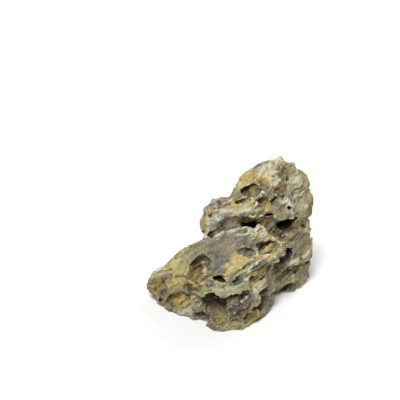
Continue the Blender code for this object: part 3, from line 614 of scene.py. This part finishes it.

# Each stain or painted spot: its point across and down in the view, its reach and how strongly it colours.
# Some spots paint light and shade: umber along the brow crevice, under the lip and in the nose band paints
# shade, and cream and yellow on the tip column, the column and the bowl paint light on places that lie in
# shade.
STAINS_AND_PAINTED_LIGHT = {
    "taupe": [
        (229, 225, 4, 1.8), (240, 232, 5, 1.8), (228, 234, 6, 1.3), (233, 229, 4, 1.0), (250, 233, 4, 0.8),
        (237, 223, 4, 1.4), (244, 300, 7, 0.8), (194, 258, 4, 0.6), (191, 250, 5, 1.3), (189, 260, 4, 1.0),
        (228, 222, 6, 1.0), (234, 218, 6, 1.4), (234, 240, 8, 0.8), (250, 244, 5, 0.6), (222, 244, 8, 0.8),
        (212, 240, 12, 1), (225, 246, 12, 1), (212, 250, 9, 1), (298, 243, 12, 1.2), (240, 292, 8, 0.8),
        (252, 294, 7, 0.8), (293, 268, 8, 1), (236, 262, 4, 0.8), (250, 177, 6, 0.9), (196, 297, 7, 1),
        (232, 218, 9, 1), (219, 206, 4, 0.4), (195, 250, 6, 0.8), (245, 196, 8, 0.5), (265, 191, 5, 1.6),
        (305, 189, 4, 1.0), (280, 227, 6, 0.6), (248, 309, 9, 0.8), (284, 178, 6, 0.6), (279, 162, 5, 1.0),
        (197, 306, 6, 0.8),
    ],
    "slate": [
        (222, 289, 5, 0.8), (234, 286, 5, 0.8), (212, 287, 4, 0.8), (265, 261, 5, 1.6), (272, 262, 4, 1.2),
        (191, 252, 4.5, 1.2), (197, 249, 4, 0.8), (213, 224, 5, 1.3), (221, 259, 8, 1.7), (214, 270, 8, 1),
        (246, 249, 6, 1.3), (239, 280, 8, 1.5), (262, 264, 6, 1.4), (210, 204, 6, 1.1), (217, 222, 6, 1.2),
        (207, 283, 5, 1), (256, 262, 5, 0.8), (228, 252, 6, 0.6), (290, 226, 7, 0.9), (262, 290, 5, 0.8),
        (257, 196, 6, 1), (306, 256, 5, 1), (272, 272, 5, 0.8), (240, 238, 8, 0.6), (236, 230, 4, 1.2),
        (243, 231.5, 5, 2.6), (199, 317, 6, 0.9), (232, 310, 7, 0.7), (215, 312, 3, 0.2),
    ],
    "yellow": [
        (172, 263, 9, 2.0), (184, 251, 4, 1.2), (168, 267, 7, 1.2), (236, 262, 8, 1.1), (228, 270, 6, 0.9),
        (241, 256, 5, 0.9), (246, 178, 9, 1.0), (253, 172, 6, 0.8), (268, 208, 7, 1), (232, 207, 7, 1.3),
        (243, 203, 6, 1.0), (263, 252, 6, 1.3), (272, 247, 5, 1.4), (265, 246, 7, 2.8), (259, 221, 5, 1.6),
        (244, 182, 5, 1.2), (250, 189, 7, 1.2), (250, 174, 6, 0.9), (193, 277, 6, 1.0), (262, 228, 5, 1),
        (266, 236, 5, 1.5), (178, 278, 8, 0.8), (182, 299, 7, 3.0), (222, 283, 5, 0.8), (292, 270, 3, 0.3),
        (246, 190, 4, 0.3),
    ],
    "ochre": [
        (194, 274, 9, 1.7), (188, 282, 6, 1.4), (200, 268, 5, 1.4), (158, 281, 8, 1.6), (156, 288, 8, 1.4),
        (181, 302, 9, 1.5), (266, 246, 7, 0.3), (258, 275, 8, 0.9), (256, 183, 7, 1.1), (262, 180, 5, 1.2),
        (262, 222, 6, 1), (240, 266, 6, 0.6), (218, 318, 7, 0.8), (285, 212, 6, 0.6), (244, 196, 6, 0.8),
        (190, 283, 6, 1), (242, 181, 5, 0.9), (251, 177, 6, 0.9),
    ],
    "rust": [
        (160, 283, 5, 0.7), (216, 314, 8, 1.9), (218, 324, 6, 1), (257, 280, 7, 1.1), (284, 272, 5, 1.2),
        (265, 303, 6, 1.2), (278, 189, 6, 2.2), (288, 253, 4, 1), (307, 197, 4, 1), (240, 207, 4, 0.4),
        (246, 308, 7, 0.9), (282, 172, 6, 3.0), (281, 178, 6, 1.4), (152, 275, 4, 0.6), (302, 238, 5, 0.5),
    ],
    "peach": [
        (291, 272, 6, 1.0), (288, 243, 6, 0.8), (224, 204, 8, 1.3), (238, 213, 5, 0.8), (214, 213, 5, 0.9),
        (219, 284, 5, 1), (296, 232, 8, 1.1), (244, 194, 4, 1.0), (298, 196, 6, 1), (276, 240, 5, 0.8),
        (231, 246, 8, 0.9), (255, 255, 4, 0.4), (170, 274, 4, 0.9),
    ],
    "cream": [
        (265, 170, 7, 1.7), (276, 159, 7, 1.9), (270, 176, 5, 1.6), (250, 227, 4, 0.8), (268, 257, 4, 1.6),
        (276, 251, 4, 1.5), (208, 220, 5, 1.8), (213, 225, 5, 4.0), (216, 219, 5, 3.6), (226, 206, 5, 0.9),
        (238, 207, 5, 0.9), (297, 183, 5, 2.0), (292, 193, 4, 0.9), (246, 169, 4, 1.0), (174, 266, 6, 1.0),
        (287, 202, 4, 1.3), (293, 207, 6, 1.5), (303, 209, 5, 1.1), (304, 226, 6, 1.2), (288, 275, 8, 0.8),
        (297, 198, 5, 0.8), (244, 208, 4, 0.9), (262, 190, 4, 1.2), (263, 245, 6, 2.2), (232, 219, 5, 1.4),
        (261, 231, 6, 2.8), (257, 224, 5, 2.8), (246, 268, 4, 1), (238, 262, 5, 0.5), (228, 267, 4, 0.6),
        (283, 266, 3, 1.2), (259, 257, 3, 1.2), (206, 232, 3, 1), (238, 176, 3, 0.8), (240, 184, 5, 1.1),
    ],
    "khaki": [
        (247, 177, 7, 1.4), (240, 183, 5, 1.0), (288, 276, 8, 1.2), (300, 209, 6, 1.3), (302, 216, 5, 1.0),
        (286, 266, 5, 0.8), (262, 226, 4, 1.2), (292, 184, 5, 1.0), (180, 272, 8, 1.1), (183, 281, 7, 1),
        (214, 291, 7, 1.1), (226, 292, 7, 1.1), (297, 176, 8, 1.4), (290, 188, 7, 1.2), (300, 186, 6, 1.2),
        (245, 208, 8, 1.2), (286, 280, 9, 1.2), (296, 278, 7, 1), (299, 211, 9, 1.2), (232, 296, 5, 0.8),
        (235, 324, 7, 0.8), (248, 286, 6, 0.6), (204, 288, 4, 1), (248, 276, 4, 0.8), (300, 254, 7, 0.8),
        (304, 228, 6, 1.2), (288, 275, 7, 1.4), (305, 232, 6, 1.0), (283, 245, 6, 0.7), (228, 322, 6, 0.7),
        (210, 296, 4, 0.5),
    ],
    "umber": [
        (191, 289, 6, 1.6), (199, 291, 5, 1.4), (212, 297, 7, 2.2), (226, 294, 5, 1.3), (262, 215, 4, 2),
        (246, 292, 6, 0.7), (268, 300, 6, 1.2), (228, 308, 6, 0.7), (240, 311, 9, 2.0), (222, 303, 5, 0.8),
        (204, 300, 5, 1.6), (198, 260, 5, 1.8), (203, 264, 4, 1.4), (210, 299, 8, 1.6), (190, 293, 6, 1.4),
        (196, 296, 5, 1.3), (207, 297, 5, 1.4), (180, 292, 4, 1), (169, 304, 6, 1.1), (248, 222, 6, 2.2),
        (283, 221, 8, 2.2), (219, 277, 4, 2), (252, 278, 3, 2), (284, 259, 8, 1.3), (277, 268, 6, 1),
        (262, 200, 8, 1.2), (256, 190, 4, 1.4), (272, 194, 4, 0.7), (277, 231, 6, 1.1), (266, 264, 4, 1),
        (259, 306, 5, 1.2), (307, 221, 4, 0.5), (281, 171, 6, 3.2), (283, 178, 5, 3.2), (240, 300, 4, 0.8),
        (289, 285, 7, 0.8), (275, 192, 4, 0.6), (200, 313, 5, 0.7), (251, 317, 5, 0.6), (198, 298, 4, 1.2),
        (214, 304, 6, 1.4), (282, 256, 5, 1.2), (242, 302, 5, 0.8), (262, 306, 6, 1.2), (256, 314, 5, 0.7),
        (208, 299, 5, 1.6), (218, 300, 5, 1.4), (215, 295.5, 3, 1.8), (225, 296.5, 3, 1.6),
        (236, 294.5, 3, 1.4), (196, 291, 5, 1.6), (200, 286, 3.5, 1.2), (252, 214.5, 3, 2),
        (258, 214.5, 3, 2), (266, 214.5, 3, 2), (268, 264, 4, 1.4), (228, 312, 7, 0.9), (246, 311, 7, 1.2),
        (262, 300, 6, 1.0), (204, 312, 5, 0.8),
    ],
}

# Lines of paint along thin edges: paint, reach, strength, and the points of the line.
# The cream lines are partly pale rims and partly painted highlight; the yellow and khaki glow lines paint
# light on the rim, the column and the lip.
EDGES = {
    "crest_foot": ("cream", 1.4, 1.4, [(232, 231), (243, 228), (255, 225.5)]),
    "crest_fold": ("cream", 1.4, 1.5, [(238, 235), (247, 233), (255, 231)]),
    "crest_left": ("cream", 2.0, 1.3, [(205, 236), (218, 234), (232, 231)]),
    "rim_glow": ("yellow", 4.0, 2.0, [(256, 256), (266, 256), (274, 252), (280, 246)]),
    "bowl_rim": ("cream", 2.8, 3.4, [(256, 255), (266, 255), (274, 250), (279, 244)]),
    "column_glow": ("yellow", 3.5, 1.0, [(260, 229), (265, 236), (272, 240), (279, 243)]),
    "column": ("cream", 2.4, 2.0, [(258, 229), (263, 236), (270, 240), (277, 243)]),
    "lip_glow": ("khaki", 3.0, 1.6, [(203, 289), (214, 292), (226, 292), (238, 289), (247, 283)]),
    "lip": ("cream", 1.8, 0.8, [(206, 288), (222, 290), (236, 288), (246, 279), (251, 266)]),
    "streak_ledge": ("cream", 1.6, 1.2, [(282, 266), (293, 262), (303, 257), (310, 251)]),
    "lobe_edge": ("khaki", 2.0, 1.2, [(270, 262), (271, 274), (272, 286)]),
    "thumb_wall": ("cream", 1.8, 1.2, [(203, 262), (205, 272), (202, 284)]),
    "low_ridge": ("khaki", 2.0, 1.3, [(166, 294), (180, 288), (196, 285)]),
    "crown_ridge": ("cream", 2.0, 1.2, [(252, 200), (262, 190), (272, 183), (280, 180)]),
    "ledge_lip": ("cream", 2.0, 1.0, [(222, 211), (240, 211), (256, 209)]),
    "base_band": ("khaki", 2.0, 1.0, [(275, 283), (286, 280), (300, 277)]),
    "crown_furrow": ("ochre", 3.0, 1.5, [(243, 191), (252, 186), (265, 180)]),
    "furrow_bed": ("umber", 1.8, 1.0, [(248, 193), (256, 189), (262, 184)]),
    "crown_step": ("cream", 2.2, 1.2, [(270, 166), (275, 172), (275, 184)]),
    "ledge_band": ("peach", 1.8, 1.0, [(216, 203), (230, 204), (246, 201)]),
}


def linear(paint):
    """A paint as the shader wants it, from the way it is given above."""
    parts = np.array(paint) / 255
    return np.where(parts <= 0.04045, parts / 12.92, ((parts + 0.055) / 1.055) ** 2.4)


SET_DOWN = Vector((-2.2, -9.1, 0)) * MM   # from the building place to where the stone stands

# The stains were marked out when the stone stood about a millimetre taller, so they are found on a pattern of
# it that is stretched to that height.
MARKED_HEIGHT = 142.873 * MM
stretch = MARKED_HEIGHT / (box_high[2] - box_low[2])
pattern = pattern_of(stone)
pattern.data.transform(Matrix.Diagonal((1, 1, stretch, 1)))
skin = skin_tree(pattern)
bpy.data.objects.remove(pattern)


def on_front(point):
    """The place of a stain, in whole millimetres, from its point of the view."""
    return on_skin(skin, point, eye=EYE + SET_DOWN)


stains = [
    (paint, on_front((across, down)), reach, strength)
    for paint, points in STAINS_AND_PAINTED_LIGHT.items() for across, down, reach, strength in points
]
CLEAR_OF_NAMED = 9   # millimetres that strewn stains keep from the named ones


def strewn_stains(spots, count):
    """Stains for the sides and the back, of the same paints, where none are named."""
    chance = random.Random("stains")
    kinds = ["taupe"] * 5 + ["slate"] * 4 + ["khaki"] * 5 + ["ochre"] * 4 + ["yellow"] * 3 + ["rust"] * 2
    kinds += ["cream"] * 2 + ["peach"] * 2 + ["umber"]
    named = np.array([spot for _, spot, _, _ in stains], float)
    found = []
    while len(found) < count:
        spot = spots[chance.randrange(len(spots))]
        if np.linalg.norm(named - spot, axis=1).min() > CLEAR_OF_NAMED:
            found.append((chance.choice(kinds), spot, chance.uniform(4, 13), chance.uniform(0.7, 1.4)))
    return found


def wandering(spots, size, far):
    """The spots moved about by noise, so that a stain's border wanders."""
    moved = [noise.noise_vector(Vector(spot) / size) for spot in spots.tolist()]
    return spots + far * np.array(moved)


LAYER_STRETCH = (6, 4, 1)   # how much longer and broader than thick the patterns in the layers are
STREWN_STAINS = 420


def slid_along_layers(spots, thickness, far):
    """The spots slid along the bedding, each thin layer its own way, so that borders run out in streaks."""
    turn = np.array(BEDDING.to_track_quat("X", "Z").to_matrix())
    in_layers = spots @ turn / LAYER_STRETCH / thickness
    slide = [noise.noise(Vector(spot)) for spot in in_layers.tolist()]
    return spots + far * np.outer(slide, BEDDING)


def paint_stains_and_light(piece):
    """The blend of stains and painted light and shade spots at each vertex, as a colour attribute."""
    spots = skin_arrays(piece.data)[0] / MM
    wide = wandering(spots, size=7, far=3.0)
    close = wandering(wide, size=2.5, far=1.2)
    loose = slid_along_layers(close, thickness=1.8, far=8.0)
    total = np.zeros(len(spots))
    blend = np.zeros((len(spots), 3))

    def add(paint, far, strength):
        weight = strength * np.exp(-far ** 4)
        blend[:] += weight[:, None] * linear(PAINTS[paint])
        total[:] += weight

    for paint, spot, reach, strength in stains + strewn_stains(spots, STREWN_STAINS):
        add(paint, np.linalg.norm(loose - spot, axis=1) / reach, strength)
    thin = wandering(spots, size=2.5, far=0.8)
    for paint, reach, strength, points in EDGES.values():
        line = [on_front(point) for point in points]
        add(paint, distance_to_line(thin, line) / reach, 2.0 * strength)
    everywhere = np.zeros(len(spots))
    ground_strength = 0.15
    add("khaki", everywhere, ground_strength)
    add("taupe", everywhere, ground_strength)
    blend /= total[:, None]
    layer = piece.data.attributes.new("stain", "FLOAT_COLOR", "POINT")
    layer.data.foreach_set("color", np.c_[blend, np.ones(len(blend))].ravel())


def smoothed_spots(piece, rounds):
    """Where the vertices would lie if the stone were rubbed smooth."""
    copy = pattern_of(piece)
    rub = copy.modifiers.new("rub", "SMOOTH")
    rub.iterations = rounds
    rub.factor = 0.5
    graph = bpy.context.evaluated_depsgraph_get()
    rubbed = copy.evaluated_get(graph).data
    spots, _ = skin_arrays(rubbed)
    bpy.data.objects.remove(copy)
    return spots / MM


def openness(piece, rays, reach):
    """How much of the open air each vertex sees within a reach, from 0 deep in a hole to 1 on a bare face."""
    tree = skin_tree(piece)
    spots, normals = skin_arrays(piece.data)
    chance = random.Random("rays")
    ways = [Vector([chance.gauss(0, 1) for _ in range(3)]).normalized() for _ in range(rays)]
    seen = np.zeros(len(spots))
    for n, (spot, normal) in enumerate(zip(spots.tolist(), normals.tolist())):
        start = Vector(spot) + Vector(normal) * 0.3 * MM
        up = Vector(normal)
        for way in ways:
            if tree.ray_cast(start, (way + up * 1.02).normalized(), reach * MM)[0] is None:
                seen[n] += 1
    return seen / rays


def number_layer(piece, name, values):
    layer = piece.data.attributes.new(name, "FLOAT", "POINT")
    layer.data.foreach_set("value", values.astype(np.float32))


EDGE_HEIGHT = 0.7     # millimetres of fine relief from a crease to an edge
RELIEF_HEIGHT = 4.0   # millimetres of broad relief from a hollow to a swell


def measure_skin(piece):
    """How sharp each edge is, how deep each hollow and how open to the air each spot is."""
    spots, normals = skin_arrays(piece.data)
    spots = spots / MM
    fine = ((spots - smoothed_spots(piece, rounds=6)) * normals).sum(axis=1)
    broad = ((spots - smoothed_spots(piece, rounds=60)) * normals).sum(axis=1)
    number_layer(piece, "edge", np.clip(0.5 + fine / EDGE_HEIGHT, 0, 1))
    number_layer(piece, "raised", np.clip(0.5 + broad / RELIEF_HEIGHT, 0, 1))
    number_layer(piece, "open", openness(piece, rays=14, reach=16))


class Value:
    """A number that changes over the surface; working with it adds the Math nodes."""

    def __init__(self, finish, socket):
        self.finish = finish
        self.socket = socket

    def worked(self, operation, *terms):
        output = self.finish.add("ShaderNodeMath", {"operation": operation}, dict(enumerate(terms)))
        return Value(self.finish, output)

    def __add__(self, other):
        return self.worked("ADD", self, other)

    def __sub__(self, other):
        return self.worked("SUBTRACT", self, other)

    def __rsub__(self, other):
        return self.worked("SUBTRACT", other, self)

    def __mul__(self, other):
        return self.worked("MULTIPLY", self, other)

    def within(self, low, high):
        """0 below low, 1 above high, and smooth between."""
        smooth = {"interpolation_type": "SMOOTHSTEP"}
        return Value(self.finish, self.finish.add("ShaderNodeMapRange", smooth, {0: self, 1: low, 2: high}))

    __radd__ = __add__
    __rmul__ = __mul__


class Finish:
    """A material that is built up node by node."""

    def __init__(self, name):
        self.material = bpy.data.materials.new(name)
        self.material.use_nodes = True
        self.tree = self.material.node_tree
        self.surface = self.tree.nodes["Principled BSDF"]

    def add(self, kind, settings, sockets, out=0):
        node = self.tree.nodes.new(kind)
        for name, setting in settings.items():
            setattr(node, name, setting)
        for slot, item in sockets.items():
            self.feed(node.inputs[slot], item)
        return node.outputs[out]

    def feed(self, socket, item):
        if isinstance(item, Value):
            item = item.socket
        if isinstance(item, bpy.types.NodeSocket):
            self.tree.links.new(item, socket)
        else:
            socket.default_value = item

    def layer(self, name):
        return Value(self, self.add("ShaderNodeAttribute", {"attribute_name": name}, {}, 2))

    def noise(self, place, scale, detail=3.0, rough=0.55):
        sockets = {"Vector": place, "Scale": scale, "Detail": detail, "Roughness": rough}
        return Value(self, self.add("ShaderNodeTexNoise", {}, sockets))

    def mix(self, share, first, second):
        return self.add("ShaderNodeMix", {"data_type": "RGBA"}, {0: share, 6: first, 7: second}, 2)


def paint(name):
    return (*linear(PAINTS[name]), 1)


# Painted shade colours: near black for the deep holes and dark brown for the creases.
HOLE_SHADE = (0.012, 0.009, 0.006, 1)
CREASE_SHADE = (0.04, 0.03, 0.018, 1)
DARK_GRAIN = (0.035, 0.029, 0.02, 1)
MOTTLE = (0.05, 0.042, 0.03, 1)


def stained_clay_and_painted_light():
    clay = Finish("stained_clay_and_painted_light")
    place = clay.add("ShaderNodeTexCoord", {}, {}, 3)
    tilt = BEDDING.to_track_quat("X", "Z").to_euler()
    turned = clay.add("ShaderNodeMapping", {"vector_type": "TEXTURE"}, {0: place, 2: tilt, 3: LAYER_STRETCH})
    edge, raised, open_air = clay.layer("edge"), clay.layer("raised"), clay.layer("open")
    stain = clay.add("ShaderNodeAttribute", {"attribute_name": "stain"}, {}, 0)

    # Veils of other paints, in sheets along the layers and in loose patches.
    sheets = clay.noise(turned, 330, 4, 0.62)
    bands = clay.noise(turned, 120, 4, 0.6)
    patches = clay.noise(place, 95, 5, 0.64)
    others = clay.noise(place, 150, 5, 0.66)
    colour = clay.mix(sheets.within(0.53, 0.63) * 0.42, stain, paint("khaki"))
    colour = clay.mix(sheets.within(0.48, 0.37) * 0.62, colour, paint("umber"))
    colour = clay.mix(bands.within(0.54, 0.64) * 0.40, colour, paint("yellow"))
    colour = clay.mix(bands.within(0.46, 0.36) * 0.46, colour, paint("taupe"))
    colour = clay.mix(patches.within(0.56, 0.66) * 0.40, colour, paint("slate"))
    colour = clay.mix(others.within(0.57, 0.67) * 0.38, colour, paint("rust"))
    colour = clay.mix(others.within(0.42, 0.33) * 0.35, colour, paint("khaki"))

    # Hollows gather ochre and painted shade, and thin edges are rubbed pale and given a painted highlight, in
    # patches and less towards the foot.
    wear_and_shade_noise = clay.noise(place, 260, 4, 0.6)
    colour = clay.mix((1 - raised).within(0.6, 1.0) * 0.25, colour, paint("ochre"))
    above_foot = Value(clay, clay.add("ShaderNodeSeparateXYZ", {}, {0: place}, 2))
    patchy = clay.noise(place, 55, 2, 0.5).within(0.44, 0.56) * 0.45 + 0.28
    worn = patchy * (above_foot.within(0, 0.06) * 0.65 + 0.35)
    # Thin edges go pale cream: partly pale wear and partly painted highlight.
    colour = clay.mix((edge + (wear_and_shade_noise - 0.5) * 0.9).within(0.71, 0.96) * worn, colour, paint("cream"))
    # Painted shade: the less open air a spot sees, the nearer its colour goes to near black, standing in for
    # the shade deep in the holes.
    hollow_shade = (1 - open_air + (wear_and_shade_noise - 0.5) * 0.5).within(0.42, 0.88)
    colour = clay.mix(hollow_shade * 0.94, colour, HOLE_SHADE)
    # Painted shade: fine creases are darkened, standing in for the shade that falls in them.
    crease_shade = (1 - edge + (wear_and_shade_noise - 0.5) * 0.6).within(0.6, 0.9)
    colour = clay.mix(crease_shade * 0.8, colour, CREASE_SHADE)

    # Fine speckle: dark grains, pale grains and a fine mottle.
    specks = clay.noise(place, 900, 3, 0.7)
    colour = clay.mix(specks.within(0.55, 0.66) * 0.55, colour, DARK_GRAIN)
    # Pale grains are held back where little open air is seen, so the painted shade in the hollows stays dark.
    colour = clay.mix((specks.within(0.44, 0.34) * open_air) * 0.32, colour, paint("cream"))
    fine = clay.noise(place, 1900, 2, 0.6)
    colour = clay.mix(fine.within(0.45, 0.62) * 0.4, colour, MOTTLE)
    clay.feed(clay.surface.inputs["Base Color"], colour)
    clay.feed(clay.surface.inputs["Roughness"], 0.78 + specks * 0.25)
    clay.feed(clay.surface.inputs["Specular IOR Level"], 0.3)

    # Grains, hair-thin layers and pin pits, too fine for the shape.
    grains = clay.noise(place, 700, 4, 0.65)
    layers = clay.noise(turned, 1100, 3, 0.6)
    pores = Value(clay, clay.add("ShaderNodeTexVoronoi", {}, {"Vector": place, "Scale": 480.0}))
    height = grains * 0.6 + layers * 0.6 + pores.within(0.0, 0.45) * 0.35
    bump = clay.add("ShaderNodeBump", {}, {"Height": height, "Strength": 0.75, "Distance": 0.0012})
    clay.feed(clay.surface.inputs["Normal"], bump)
    return clay.material


measure_skin(stone)
paint_stains_and_light(stone)
stone.data.materials.clear()
stone.data.materials.append(stained_clay_and_painted_light())
stone.data.shade_smooth()
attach(stone, "root")
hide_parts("stone")

# ---- Floor, light and camera ------------------------------------------------------------------------------
# A plain pale floor, a broad soft lamp from above, a little left of the front, and a weaker one from behind.


def pale_floor():
    bpy.ops.mesh.primitive_plane_add(size=8, location=(0, 0, -0.0002))
    floor = bpy.context.object
    floor.name = "floor"
    pale = Finish("pale_floor")
    pale.feed(pale.surface.inputs["Base Color"], (0.87, 0.87, 0.87, 1))
    pale.feed(pale.surface.inputs["Roughness"], 0.9)
    floor.data.materials.append(pale.material)
    return floor


def soft_lamp(name, way, power, spread):
    """A lamp so far off that it lights the floor evenly; its spread softens the shadows."""
    lamp = bpy.data.lights.new(name, "SUN")
    lamp.energy = power
    lamp.angle = math.radians(spread)
    holder = bpy.data.objects.new(name, lamp)
    bpy.context.scene.collection.objects.link(holder)
    holder.rotation_mode = "QUATERNION"
    holder.rotation_quaternion = Vector(way).to_track_quat("Z", "Y")


floor = pale_floor()
soft_lamp("key_lamp", (-0.18, -0.6, 1.0), 3.15, 20)
soft_lamp("back_lamp", (0.55, 0.9, 0.75), 0.9, 40)
world = bpy.data.worlds.new("studio")
bpy.context.scene.world = world
world.use_nodes = True
world.node_tree.nodes["Background"].inputs["Color"].default_value = (1, 1, 1, 1)
world.node_tree.nodes["Background"].inputs["Strength"].default_value = 0.27

camera = bpy.data.objects.new("camera", bpy.data.cameras.new("camera"))
bpy.context.scene.collection.objects.link(camera)
camera.data.lens = LENS
camera.data.sensor_width = FILM
camera.location = (-0.0307, -0.8041, 0.5190)
camera.rotation_euler = (math.radians(90) - LOOK_DOWN, 0, 0)
bpy.context.scene.camera = camera
bpy.context.scene.view_settings.view_transform = "Standard"
